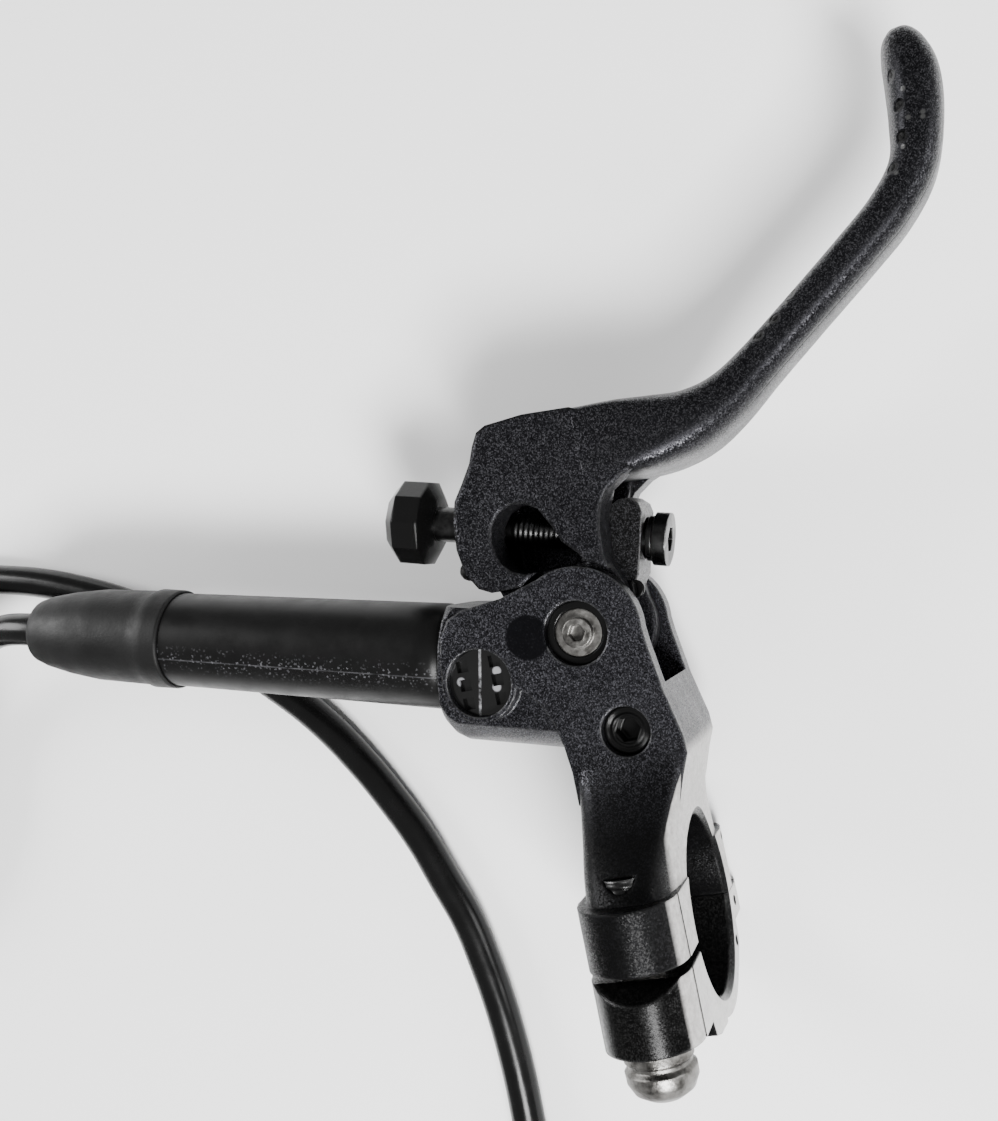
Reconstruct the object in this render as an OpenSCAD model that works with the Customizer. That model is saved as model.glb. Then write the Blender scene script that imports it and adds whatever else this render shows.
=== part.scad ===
// Hydraulic brake lever for a bicycle: bar clamp, forked housing, master cylinder
// lying along the bar, cranked blade with a cam link, reach knob and brake hose.
// Origin at the centre of the bar clamp, +X out along the bar, +Y forward,
// +Z up towards the rider.

/* [Bar clamp] */
// Diameter of the handlebar
bar_d = 22.2; // [22.0:0.1:22.4]
// Width of the clamp along the bar
clamp_w = 12; // [11:0.5:13]
// Distance of each clamp bolt from the bar's axis
bolt_z = 16.5; // [16:0.1:17]
// Thread diameter of the clamp bolts
bolt_d = 5; // [4.8:0.1:5.2]
// Lowest point of the clamp cap below the bar's axis
cap_drop = 13.6; // [13.2:0.1:14]
// Open split between the housing and the cap on the near side
split_gap = 1.2; // [0.8:0.1:1.4]

/* [Housing] */
// Distance between the outer faces of the two ears
ear_span = 19; // [18.6:0.1:19.4]
// Thickness of each ear
ear_t = 2.6; // [2.4:0.1:2.7]
// Radius of the ears round the main pivot
ear_r = 8.2; // [7.8:0.1:8.3]
// Diameter of the main pivot pin
pin_d = 6; // [5.6:0.1:6.2]

/* [Master cylinder] */
// Tilt of the cylinder away from the bar
tube_tilt = 13.3; // [13:0.1:13.6]
// Distance of the cylinder's axis below the main pivot
tube_drop = 4.9; // [4.8:0.1:5]
// Outer diameter of the cylinder at the housing
tube_d = 14.3; // [13.9:0.1:14.5]
// Outer diameter of the cylinder at the rubber boot
tube_end_d = 13.5; // [13.3:0.1:13.7]
// Bore of the cylinder
bore_d = 9.5; // [9:0.1:9.8]

/* [Blade] */
// Thickness of the finger blade
blade_t = 5.4; // [5.0:0.1:5.8]
// Width of the finger blade across the finger
blade_w = 11; // [10.4:0.1:11.6]

/* [Reach screw] */
// Diameter of the faceted knob
knob_d = 11.6; // [11:0.1:12]
// Thread diameter of the reach screw
screw_d = 4; // [3.8:0.1:4.2]

/* [Hose] */
// Outer diameter of the hose
hose_d = 5; // [4.8:0.1:5.1]

/* [Hidden] */
$fn = 64;
seat_gap = 0.03;   // between pieces that are pressed or screwed together
run_gap = 0.05;    // radial, between a pin or shaft and the hole it turns in
free_gap = 0.35;   // between moving pieces that never touch

// Main pivot, parallel to Z
pivot = [-1.8, 36.7];
ear_in = ear_span / 2 - ear_t;
cam_room_r = 12;
wall_r = ear_r + 0.75;

// The foot of the perpendicular from the pivot to the cylinder's axis
foot = pivot + tube_drop * [-sin(tube_tilt), -cos(tube_tilt)];
window_c = [-15.5, 32.8];
socket_r = 5.9;
tube_s0 = 11.6;    // mouth of the cylinder, along its axis from the foot
tube_s1 = 18.8;    // where it leaves the housing
boot_s0 = 61.9;
boot_s1 = 86.9;
nut_s0 = 71.5;
nut_s1 = 80.3;
cam_s = 5;         // where the cam meets the push rod with the lever released

// Reach screw: its axis passes above the pivot and slopes down outboard
screw_tilt = 15.6;
screw_mid = [8.4, 46.3];
knob_s = -32.8;    // knob's centre, along the screw from the disc's face
arm_s0 = -5.6;     // the link's arm lies between these two places on the screw
arm_s1 = -1.3;
pad_t = 0.7;
pad_gap = 0.45;    // room for the arm to tilt between the pads

// Clamp bolts
head_y = -10.3;      // seat of the near bolt's head
far_head_y = -6;     // seat of the far bolt's head
bolt_len = 18.9;
boss_r = clamp_w / 2 - 0.1;
perch_far_z = 14.6;
cap_far_z = 16.9;
near_split_y = -1.2;
far_split_y = -2;

// each bolt's place and the seat of its head
bolts = [[-bolt_z, far_head_y], [bolt_z, head_y]];

floor_z = -18;
coil_c = [-152, 39.2];
coil_r = 28;
coil_in = coil_r - hose_d;
coil_out = coil_r + hose_d;

metal = [0.24, 0.25, 0.27];
satin = [0.10, 0.10, 0.11];
rubber = [0.07, 0.07, 0.07];
steel = [0.68, 0.69, 0.70];

// Frames of reference

// local +X runs along the cylinder away from the pivot, local +Y away from the bar's front
module tube_frame() {
    translate([foot[0], foot[1], 0])
        rotate([0, 0, 180 - tube_tilt])
            children();
}

// local +Z runs along the cylinder from the distance s
module along_tube(s) {
    tube_frame()
        translate([s, 0, 0])
            rotate([0, 90, 0])
                children();
}

// local +Z runs along the reach screw from the distance s, outboard
module along_screw(s) {
    translate([screw_mid[0], screw_mid[1], 0])
        rotate([0, 0, -screw_tilt])
            translate([s, 0, 0])
                rotate([0, 90, 0])
                    children();
}

// local +Z runs forward from the height y on the clamp bolt at z
module along_bolt(y, z) {
    translate([0, y, z])
        rotate([-90, 0, 0])
            children();
}

module ring(r_out, r_in, h) {
    difference() {
        cylinder(r = r_out, h = h);
        translate([0, 0, -1])
            cylinder(r = r_in, h = h + 2);
    }
}

// a flat plate in the XY plane between two heights
module plate(z0, z1) {
    translate([0, 0, z0])
        linear_extrude(z1 - z0)
            children();
}

module at_pivot(z) {
    translate([pivot[0], pivot[1], z])
        children();
}

// Sweeps: rings of points joined into one closed skin

function unit(v) = v / norm(v);

function skin_faces(rings, sides) = concat(
    [for (i = [1:sides - 2]) [0, i + 1, i]],
    [for (k = [0:rings - 2], i = [0:sides - 1])
        [k * sides + i, k * sides + (i + 1) % sides, (k + 1) * sides + (i + 1) % sides]],
    [for (k = [0:rings - 2], i = [0:sides - 1])
        [k * sides + i, (k + 1) * sides + (i + 1) % sides, (k + 1) * sides + i]],
    [for (i = [1:sides - 2], b = (rings - 1) * sides) [b, b + i, b + i + 1]]);

function tangent(p, k) = unit(p[min(k + 1, len(p) - 1)] - p[max(k - 1, 0)]);

function side_of(t) = unit(cross([0, 0, 1], t));

// a round tube through the points p, whose first and last faces are square to the route
module swept_tube(p, r, sides) {
    pts = [for (k = [0:len(p) - 1])
        let (t = tangent(p, k), a = side_of(t), b = cross(t, a))
            for (i = [0:sides - 1])
                p[k] + r * (cos(360 * i / sides) * a + sin(360 * i / sides) * b)];
    polyhedron(points = pts, faces = skin_faces(len(p), sides), convexity = 8);
}

// one point on a smooth curve through four stations
function blend(a, b, c, d, t) = 0.5 * (2 * b + (c - a) * t + (2 * a - 5 * b + 4 * c - d) * t * t
    + (3 * b - a - 3 * c + d) * t * t * t);

function smooth(p, n) = [for (k = [0:len(p) - 2], j = [0:n - 1])
    blend(p[max(k - 1, 0)], p[k], p[k + 1], p[min(k + 2, len(p) - 1)], j / n), p[len(p) - 1]];

// Housing

// an ear seen along the pivot: round over the pivot, cut away over the cylinder
module ear_outline() {
    translate(pivot)
        circle(r = ear_r);
    translate(window_c)
        circle(r = 5);
    polygon([[-4.6, 44.3], [-10.5, 42.7], [-16, 42.2], [-18, 41.4], [-19.4, 39.4], [-20.2, 36],
        [-20.3, 32], [-10.9, 31.6], [-9.4, 30.4], [-7.9, 28.7], [-6.8, 26.3], [-6.1, 23.4],
        [-5.7, 20], [-5.7, 16], [5.7, 12], [6.8, 15], [7.8, 17.9], [8.8, 20.4], [8.7, 22.5],
        [7.4, 28.2], [6.55, 34], [6.1, 39]]);
}

// the cylinder's round-bottomed housing, flat beside the ears and on top
module cylinder_block() {
    r = 10.8;
    intersection() {
        along_tube(0)
            rotate_extrude()
                polygon([[0, -2], [r, -2], [r, tube_s1 - 3], [r - 0.5, tube_s1 - 1.6],
                    [r - 1.4, tube_s1 - 0.5], [r - 2.8, tube_s1], [0, tube_s1]]);
        tube_frame()
            translate([-5, -7.2, -7.7])
                cube([40, 30, 15.4]);
        // open on top near the pivot
        tube_frame()
            union() {
                translate([4.5, -20, -20])
                    cube([40, 40, 40]);
                translate([-5, 4, -20])
                    cube([40, 40, 40]);
            }
    }
}

// the clamp's round-ended outline seen along the bolts
module clamp_plan(y0, y1, far_z) {
    translate([-clamp_w / 2, y0, -far_z])
        cube([clamp_w, y1 - y0, far_z + bolt_z]);
    for (z = [bolt_z, -far_z])
        along_bolt(y0, z)
            cylinder(r = boss_r, h = y1 - y0);
}

module clamp_bore() {
    chamfer = 0.6;
    rotate([0, 90, 0]) {
        cylinder(d = bar_d, h = 3 * clamp_w, center = true, $fn = 96);
        for (side = [0, 1])
            mirror([0, 0, side])
                translate([0, 0, clamp_w / 2 - chamfer])
                    cylinder(d1 = bar_d, d2 = bar_d + 4 * chamfer, h = 2 * chamfer, $fn = 96);
    }
}

// the neck that widens from the ears to the two bolt bosses, as rounded sections
// square to the bolts: height y, middle x, half width, near z, far z, roundness
neck_sections = [
    [24, 1.3, 7, ear_span / 2 - 0.1, ear_span / 2 - 0.1, 0.2],
    [21.5, 1.4, 7.2, ear_span / 2, ear_span / 2, 0.22],
    [18.5, 1.2, 7, ear_span / 2 + 0.9, ear_span / 2 + 0.7, 0.28],
    [15, 0.6, 6.4, ear_span / 2 + 3.3, ear_span / 2 + 2.6, 0.36],
    [11.5, 0.2, 6, bolt_z - 0.5, perch_far_z + 0.6, 0.44],
    [8.5, 0, boss_r, bolt_z + 2, perch_far_z + 3.3, 0.5],
    [5.5, 0, boss_r, bolt_z + 3.4, perch_far_z + 4.3, 0.52]];

function signed_pow(v, e) = sign(v) * pow(abs(v), e);

function neck_ring(s, sides) =
    let (mid = (s[3] - s[4]) / 2, half = (s[3] + s[4]) / 2)
    [for (i = [0:sides - 1])
        let (w = -360 * i / sides)
            [s[1] + s[2] * signed_pow(cos(w), s[5]), s[0], mid + half * signed_pow(sin(w), s[5])]];

module neck() {
    sides = 32;
    rows = smooth(neck_sections, 2);
    polyhedron(points = [for (s = rows) each neck_ring(s, sides)],
        faces = skin_faces(len(rows), sides), convexity = 6);
}

module lever_body() {
    color(metal)
    difference() {
        union() {
            plate(ear_in, ear_span / 2)
                ear_outline();
            plate(-ear_span / 2, -ear_in)
                ear_outline();
            plate(-ear_in, ear_in)
                intersection() {
                    ear_outline();
                    translate([-30, 0])
                        square([60, 29]);
                }
            cylinder_block();
            neck();
            clamp_plan(far_split_y, 6, perch_far_z);
        }
        // room for the cam link and the lever's hub
        at_pivot(-ear_in)
            cylinder(r = cam_room_r, h = 2 * ear_in, $fn = 96);
        // pin hole with a recess in the near ear
        at_pivot(-20)
            cylinder(r = pin_d / 2 + 1, h = 40);
        at_pivot(ear_span / 2 - 1.2)
            cylinder(d = 7.3, h = 3);
        // bleed ports
        translate([1.9, 24, ear_span / 2 - 5])
            cylinder(d = 6.1, h = 6);
        translate([1.9, 24, -ear_span / 2 - 1])
            cylinder(d = 6.1, h = 6);
        translate([1.9, 24, -9])
            cylinder(d = 3, h = 18);
        // round window in the near ear
        translate([window_c[0], window_c[1], 6.9])
            cylinder(d = 8.6, h = 4);
        // socket for the cylinder
        along_tube(8)
            cylinder(r = socket_r, h = 20);
        clamp_bore();
        for (b = bolts)
            along_bolt(-5, b[0])
                cylinder(d = bolt_d + 2 * run_gap, h = b[1] + bolt_len + 5.2);
        // the far side closes on the cap first, the near side stays open
        translate([-20, near_split_y - 10, 1])
            cube([40, 10, 40]);
        for (h = [[11.9, -14.8], [4.9, -14.6]])
            face_hole(h);
    }
}

// small blind hole in the clamp's outboard side at y and z
module face_hole(h) {
    translate([clamp_w / 2 - 1.4, h[0], h[1]])
        rotate([0, 90, 0])
            cylinder(d = 1.4, h = 4, $fn = 24);
}

// Clamp cap and bolts

// extrudes an outline given as [y, z] over the clamp's width
module across_clamp() {
    rotate([0, 90, 0])
        rotate([0, 0, 90])
            linear_extrude(clamp_w, center = true)
                children();
}

// a round strap under the bar with a block at each bolt
module clamp_cap() {
    cap_top = near_split_y - split_gap;
    color(metal)
    difference() {
        intersection() {
            union() {
                rotate([0, 90, 0])
                    cylinder(r = cap_drop, h = clamp_w + 1, center = true, $fn = 96);
                across_clamp()
                    polygon([[head_y, bolt_z + 8], [cap_top - 1.9, bolt_z + 8],
                        [cap_top - 1.9, bolt_z + boss_r], [cap_top, bolt_z + 3], [cap_top, 8],
                        [-11.5, 4], [-13.3, 4.6], [-13, 9], [-12.2, 11.6], [head_y, 12.2]]);
                across_clamp()
                    polygon([[far_head_y, -bolt_z - 8], [far_split_y - 0.1, -bolt_z - 8],
                        [far_split_y - 0.1, -8], [-12, -5], [-11, -8.4], [-8.5, -12],
                        [far_head_y, -12.2]]);
            }
            clamp_plan(-20, 0, cap_far_z);
        }
        translate([-20, cap_top, 0])
            cube([40, 30, 40]);
        translate([-20, far_split_y - 0.1, -40])
            cube([40, 30, 41]);
        clamp_bore();
        for (z = [-bolt_z, bolt_z])
            along_bolt(-20, z)
                cylinder(d = bolt_d + 0.4, h = 30);
        for (h = [[-4, -14.3], [-8.2, -10.2]])
            face_hole(h);
    }
}

// a round head on a short neck, domed below, with a hexagon key hole
module clamp_bolts() {
    color(steel)
    for (b = bolts)
        difference() {
            along_bolt(b[1], b[0])
                rotate_extrude()
                    polygon([[0, -6.3], [2.4, -6.1], [3.6, -5.3], [4.2, -4.1], [4.25, -2.9],
                        [3.75, -2.4], [3.75, -2], [4.1, -1.7], [3.95, 0], [bolt_d / 2, 0],
                        [bolt_d / 2, bolt_len - 0.5], [bolt_d / 2 - 0.5, bolt_len],
                        [0, bolt_len]]);
            along_bolt(b[1] - 7, b[0])
                cylinder(r = 2.3, h = 3.6, $fn = 6);
        }
}

// Pivot and housing details

module pivot_pin() {
    color(steel)
    difference() {
        union() {
            at_pivot(-ear_span / 2 + 0.4)
                cylinder(d = pin_d, h = ear_span - 1.8);
            at_pivot(ear_span / 2 - 1.4)
                cylinder(d = 3.7, h = 0.9);
        }
        at_pivot(ear_span / 2 - 1.5)
            cylinder(r = 1.1, h = 3, $fn = 6);
    }
}

module pivot_bushes() {
    color(satin) {
        at_pivot(ear_in)
            ring(pin_d / 2 + 1 - seat_gap, pin_d / 2 + seat_gap, ear_t - 1.2);
        at_pivot(-ear_span / 2 + 0.3)
            ring(pin_d / 2 + 1 - seat_gap, pin_d / 2 + seat_gap, ear_t - 0.3);
    }
}

module bleed_screws() {
    color(satin)
    for (side = [0, 1])
        mirror([0, 0, side])
            difference() {
                translate([1.9, 24, ear_span / 2 - 5])
                    cylinder(d = 6, h = 3.6);
                translate([1.9, 24, ear_span / 2 - 3.4])
                    cylinder(r = 1.6, h = 4, $fn = 6);
            }
}

// ribbed plug behind the round window
module window_insert() {
    color(rubber)
    difference() {
        translate([window_c[0], window_c[1], 6.9])
            cylinder(d = 8.5, h = 1.5);
        for (x = [-2.2, 2.2], y = [-2.4, 0, 2.4])
            translate([window_c[0] + x, window_c[1] + y, 8.4])
                cube([1.5, 1.5, 1.4], center = true);
    }
}

// Master cylinder

module cylinder_tube() {
    color(satin)
    difference() {
        along_tube(0)
            rotate_extrude()
                polygon([[0, tube_s0], [socket_r - 0.6, tube_s0],
                    [socket_r - seat_gap, tube_s0 + 0.6], [socket_r - seat_gap, tube_s1],
                    [tube_d / 2 - 1.6, tube_s1], [tube_d / 2 - 0.5, tube_s1 + 0.4],
                    [tube_d / 2, tube_s1 + 1.5], [tube_end_d / 2, boot_s0 + 3.4],
                    [6, boot_s0 + 3.4], [6, nut_s0], [0, nut_s0]]);
        along_tube(tube_s0 - 1)
            cylinder(d = bore_d, h = 30.4);
        along_tube(43)
            cylinder(r = 5.6, h = 18);
        along_tube(40)
            translate([0, 3, 0])
                cylinder(r = 0.6, h = 5, $fn = 24);
        along_tube(60)
            cylinder(r = 3.6, h = 20);
        along_tube(tube_s0 - 1)
            cylinder(d = bore_d + 0.8, h = 1.8);
    }
}

module retaining_ring() {
    color(steel)
    along_tube(tube_s0)
        ring(bore_d / 2 + 0.4 - seat_gap, 2.6, 0.8);
}

module reservoir_bladder() {
    color(rubber)
    difference() {
        along_tube(45)
            cylinder(r = 5, h = 16);
        along_tube(44)
            cylinder(r = 4.2, h = 16.2);
    }
}

// soft cover over the cylinder's end and the hose nut
module end_boot() {
    color(rubber)
    along_tube(0)
        rotate_extrude()
            polygon([[tube_end_d / 2 + 0.12, boot_s0], [7.2, boot_s0 + 0.4], [7.25, boot_s0 + 3.6],
                [6.95, boot_s0 + 4.2], [6.8, 75.4], [6.2, 80.5], [5.4, 84.6], [4.8, 86.4],
                [4.2, boot_s1],
                [hose_d / 2 + 0.1, boot_s1], [hose_d / 2 + 0.1, nut_s1], [4.6, nut_s1],
                [4.6, nut_s0], [6 + seat_gap, nut_s0], [6 + seat_gap, boot_s0 + 3.4],
                [tube_end_d / 2 + 0.12, boot_s0 + 3.4]]);
}

module hose_nut() {
    color(steel)
    difference() {
        union() {
            along_tube(nut_s0)
                cylinder(r = 4.55, h = nut_s1 - nut_s0, $fn = 6);
            along_tube(nut_s0 - 5)
                cylinder(r = 3.6 - seat_gap, h = 5.1);
        }
        along_tube(nut_s0 - 6)
            cylinder(d = hose_d + 0.2, h = 20);
    }
}

module hose_olive() {
    color("goldenrod")
    along_tube(nut_s0 - 7.4)
        ring(3.5, hose_d / 2 + 0.1, 2.4);
}

// Piston group, drawn with the lever released

module piston() {
    color("silver")
    along_tube(0)
        rotate_extrude()
            polygon([[0, 16], [2.1, 16], [2.1, 12.9], [4.6, 12.9], [4.7, 13.4], [4.7, 17],
                [3.3, 17], [3.3, 25], [4.7, 25], [4.7, 26.2], [3.2, 26.2], [3.2, 28.4],
                [4.7, 28.4], [4.7, 29.6], [2.4, 29.6], [2.4, 32.4], [0, 32.4]]);
}

module piston_seals() {
    color(rubber) {
        along_tube(26.25)
            ring(bore_d / 2 - 0.02, 3.2 + seat_gap, 2.1);
        along_tube(17.05)
            ring(bore_d / 2 - 0.02, 3.3 + seat_gap, 2.2);
    }
}

// flat head under the cam, ball end in the piston's cup
module pushrod() {
    color(steel) {
        along_tube(cam_s + 0.2)
            cylinder(r = 2.9, h = 1.4);
        along_tube(cam_s + 1.5)
            cylinder(r = 2, h = 16 - cam_s - 1.5);
    }
}

module return_spring() {
    turns = 5;
    wire = 0.4;
    r = 3.5;
    s0 = 29.6 + wire;
    s1 = 41 - wire;
    steps = 16 * turns;
    color(steel)
    along_tube(0)
        swept_helix([for (k = [0:steps]) [r * cos(360 * turns * k / steps),
            r * sin(360 * turns * k / steps), s0 + (s1 - s0) * k / steps]], wire, 6);
}

module swept_helix(p, r, sides) {
    pts = [for (k = [0:len(p) - 1])
        let (t = tangent(p, k), a = unit([p[k][0], p[k][1], 0]), b = unit(cross(t, a)))
            for (i = [0:sides - 1])
                p[k] + r * (cos(360 * i / sides) * a + sin(360 * i / sides) * b)];
    polyhedron(points = pts, faces = skin_faces(len(p), sides), convexity = 12);
}

// Cam link: turns on the main pin, pushed by the reach screw, pushes the piston

// involute of a circle whose radius is the cylinder's drop below the pivot, so a flat
// follower moves by that radius for each radian; swing is counted from the foot
function involute(swing) =
    let (t = cam_s / tube_drop + swing * PI / 180, a = 270 - tube_tilt + swing)
        tube_drop * [cos(a) + t * cos(a - 90), sin(a) + t * sin(a - 90)];

// lobe with the involute flank on the side of the cylinder
module cam_outline() {
    translate(pivot)
        polygon(concat([for (w = [-40:5:60]) involute(w)],
            [[-1, -10.4], [1.6, -7.6], [4.2, -3], [0, 1]]));
}

// arm up to the reach screw
module arm_outline() {
    polygon([[-4, 39], [-1, 41.8], [2.4, 44.6], [3.6, 50.2], [4.1, 51.4], [5.4, 52], [6.9, 51.9],
        [7.8, 51], [8, 49.8], [6.7, 44.8], [6, 42.2], [3, 38], [-2, 36]]);
}

module cam_link() {
    half = 3.6;
    color(metal)
    difference() {
        union() {
            at_pivot(-half)
                cylinder(r = 5.3, h = 2 * half);
            plate(-half, half)
                cam_outline();
            plate(-half, half)
                arm_outline();
        }
        at_pivot(-10)
            cylinder(d = pin_d + 2 * run_gap, h = 20);
        // the screw's way through the arm, with room to tilt
        along_screw(arm_s0 - 4)
            cylinder(r = screw_d / 2 + 0.7, h = 14);
    }
}

// short locking screw in the side of the link's arm
module link_screw() {
    color(satin)
    translate([5.4, 40.6, 3.6])
        difference() {
            cylinder(r = 1.1, h = 0.4);
            translate([-0.2, -0.8, 0.15])
                cube([0.4, 1.6, 1]);
        }
}

// two pads on the reach screw that hold the link's arm between them
module reach_pads() {
    color(satin) {
        along_screw(arm_s0 - pad_gap - pad_t)
            ring(2.9, screw_d / 2 + run_gap, pad_t);
        along_screw(arm_s1 + pad_gap)
            ring(2.9, screw_d / 2 + run_gap, pad_t);
    }
}

// Lever blade

// stations down the middle of the blade: x, y, direction, thickness, half width,
// roundness across and along the thickness
half_w = blade_w / 2;
heel_w = ear_span / 2 + 0.04;
stations = [
    [3, 59.2, 0, 9.4, heel_w, 0.16, 0.12],
    [8, 59.1, 1, 9.3, heel_w, 0.26, 0.2],
    [12.5, 59, 4, 8.9, heel_w - 0.4, 0.44, 0.38],
    [16.8, 59.5, 14, 7.8, heel_w - 1.3, 0.62, 0.54],
    [21, 61.3, 28, 6.4, half_w + 1.6, 0.7, 0.6],
    [25.4, 64.3, 36, blade_t + 0.2, half_w + 0.7, 0.72, 0.62],
    [31.9, 69.1, 37, blade_t, half_w + 0.2, 0.72, 0.62],
    [39, 74.4, 38, blade_t, half_w, 0.72, 0.62],
    [43.7, 78.2, 45, blade_t, half_w, 0.72, 0.62],
    [47.1, 82.5, 60, blade_t + 0.1, half_w, 0.72, 0.62],
    [48.6, 88, 79, blade_t + 0.7, half_w, 0.74, 0.66],
    [49.05, 92.6, 93, blade_t + 0.8, half_w - 0.2, 0.78, 0.72],
    [48.75, 95.8, 101, blade_t - 0.1, half_w - 0.9, 0.84, 0.8],
    [48.3, 97.8, 106, blade_t - 1.7, half_w - 2.1, 0.9, 0.9],
    [48, 98.6, 106, blade_t - 3.8, half_w - 3.9, 1, 1]];

// rounded four-sided section across the blade
function blade_ring(s, sides) =
    [for (i = [0:sides - 1])
        let (w = -360 * i / sides, u = signed_pow(cos(w), s[5]) * s[3] / 2,
            v = signed_pow(sin(w), s[6]) * s[4])
            [s[0] - u * sin(s[2]), s[1] + u * cos(s[2]), v]];

module blade_skin() {
    sides = 20;
    rows = smooth(stations, 3);
    pts = [for (s = rows) each blade_ring(s, sides)];
    polyhedron(points = pts, faces = skin_faces(len(rows), sides), convexity = 6);
}

// the wide heel seen along the pivot
module heel_outline() {
    difference() {
        polygon([[-9.3, 63.6], [-10.2, 62], [-11, 60], [-12.6, 57.6], [-13.9, 55.8], [-14.6, 53.4],
            [-14.9, 49.8], [-14.4, 46.6], [-13, 44.4], [-11.4, 43.6], [-7, 43.6], [0, 43.6],
            [3.8, 43.4], [3.5, 45.8], [3.7, 48.6], [4.3, 51.2], [5.6, 53], [7.6, 54.3],
            [9, 54.8], [8, 57], [7, 60], [5.4, 62.6], [3, 63.85], [-3, 64.4], [-8, 64.2]]);
        translate(pivot)
            circle(r = wall_r, $fn = 96);
    }
}

// the opening in the near side of the heel
module heel_window() {
    polygon([[-9.9, 47.9], [-10.2, 49.8], [-9.8, 51.6], [-8.6, 53.1], [-6.9, 53.8], [-5, 53.6],
        [-3.4, 52.6], [-2, 50], [-1.2, 48], [0.2, 46.6], [1, 45.6], [0.4, 45], [-6.6, 45],
        [-8.2, 45.6], [-9.4, 46.8]]);
}

// the hub plates that reach down beside the link
module hub_outline() {
    translate(pivot)
        circle(r = 7.2);
    polygon([[-9, 36.9], [-11.5, 44.2], [-13, 48], [-12, 56], [6.5, 56], [3.9, 50], [3.4, 45],
        [4.6, 41.6], [5.1, 38.4]]);
}

module lever_blade() {
    hub_z = 4;
    color(metal)
    difference() {
        union() {
            blade_skin();
            for (side = [0, 1])
                mirror([0, 0, side]) {
                    plate(ear_in - free_gap - 0.9, ear_span / 2)
                        heel_outline();
                    plate(hub_z, ear_in - free_gap)
                        hub_outline();
                }
            // finger side and inboard side of the heel
            plate(-ear_in, ear_in)
                difference() {
                    heel_outline();
                    polygon([[-11, 30], [-11, 50], [-10, 55.4], [-6, 57.6], [20, 57.6],
                        [20, 30]]);
                }
        }
        plate(hub_z - 1, 12)
            heel_window();
        at_pivot(-10)
            cylinder(d = pin_d + 2 * run_gap, h = 20);
        along_screw(-34)
            cylinder(r = 3.4, h = 15);
        // hole of the stop
        translate([-17.3, 47.2, 0])
            rotate([0, 0, -screw_tilt])
                rotate([0, 90, 0])
                    cylinder(r = 1.3 + seat_gap, h = 3.6);
    }
}

// small round-ended rubber stop in the heel's inboard side
module stop_stub() {
    r = 1.3;
    color(rubber)
    translate([-17.3, 47.2, 0])
        rotate([0, 0, -screw_tilt])
            rotate([0, 90, 0])
                rotate_extrude()
                    polygon([[0, -r], [0.7, -1.1], [1.15, -0.6], [r, 0], [r, 3.6], [0, 3.6]]);
}

module knob_bush() {
    color(satin)
    along_screw(-24.6)
        ring(3.4 - seat_gap, screw_d / 2 + run_gap, 4.4);
}

// Reach knob and screw

module reach_knob() {
    color(rubber)
    difference() {
        union() {
            along_screw(knob_s - 3)
                cylinder(d1 = knob_d - 3, d2 = knob_d, h = 1.4, $fn = 10);
            along_screw(knob_s - 1.6)
                cylinder(d = knob_d, h = 3.6, $fn = 10);
            along_screw(knob_s + 2)
                cylinder(d1 = knob_d, d2 = knob_d - 4, h = 1.1, $fn = 10);
        }
        along_screw(knob_s - 1)
            cylinder(r = screw_d / 2 - 0.4, h = 8);
    }
}

module reach_screw() {
    color(steel) {
        along_screw(knob_s - 1)
            cylinder(r = screw_d / 2 - 0.4 - seat_gap, h = 4.2);
        along_screw(knob_s + 3.1)
            cylinder(d = screw_d + 0.7, h = 4.2);
        along_screw(knob_s + 4)
            cylinder(d = screw_d, h = -knob_s - 4);
    }
}

// round end plate with a hexagon key hole
module screw_disc() {
    color(steel)
    difference() {
        along_screw(0)
            cylinder(r = 3.4, h = 1.8);
        along_screw(0.6)
            cylinder(r = 1.75, h = 3, $fn = 6);
    }
}

// Hose: from the boot, down to the floor and into the coil, then under the cylinder

hose_start = foot + nut_s1 * [-cos(tube_tilt), sin(tube_tilt)];
lead_r = 26;       // bend of the hose on its way down to the coil
lead_straight = 10;

// height at the distance s: level in the boot, then an easy slope down to the coil
function lead_z(s) = s < 7 ? 0 : s < 21 ? -0.4526 * pow(s - 7, 2) / 28
    : s < 23 ? -3.168 - 0.4526 * (s - 21) : -4.073 - 0.4526 * (s - 23) + 0.4526 * pow(s - 23, 2) / 56.8;

function lead_point(s) =
    let (h = 180 - tube_tilt, w = max(s - lead_straight, 0) / lead_r * 180 / PI)
        [hose_start[0] + min(s, lead_straight) * cos(h) + lead_r * (sin(h + w) - sin(h)),
         hose_start[1] + min(s, lead_straight) * sin(h) + lead_r * (cos(h) - cos(h + w)),
         lead_z(s)];

lead_route = [for (s = [0, 6.5, 10, 15, 20, 25, 30, 35, 40]) lead_point(s)];
tail_route = [[-131.5, 67.4, -15.5], [-126, 66.6, -15.5], [-120, 65.6, -15.5],
    [-114, 64.6, -15.5], [-108, 63.3, -15.5], [-100, 61.2, -15.5], [-92, 58.3, -15.5],
    [-84.7, 55, -15.5], [-76, 50, -15.5], [-67, 43.6, -15.5], [-59, 36.8, -15.5],
    [-52.1, 30, -15.5], [-46.7, 22.9, -15.5], [-42.5, 16.1, -15.5], [-39.1, 9.6, -15.5],
    [-36.6, 3.2, -15.5], [-34.2, -3.1, -15.5], [-32.8, -9.3, -15.5], [-31.8, -15.3, -15.5],
    [-31.2, -21.3, -15.5], [-30.9, -27.3, -15.5], [-30.9, -34, -15.5], [-30.9, -43, -15.5],
    [-30.9, -52, -15.5]];
tail_end = tail_route[len(tail_route) - 1];

module hose_lead() {
    color(rubber)
    swept_tube(lead_route, hose_d / 2, 12);
}

module hose_tail() {
    color(rubber)
    swept_tube(tail_route, hose_d / 2, 12);
}

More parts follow.
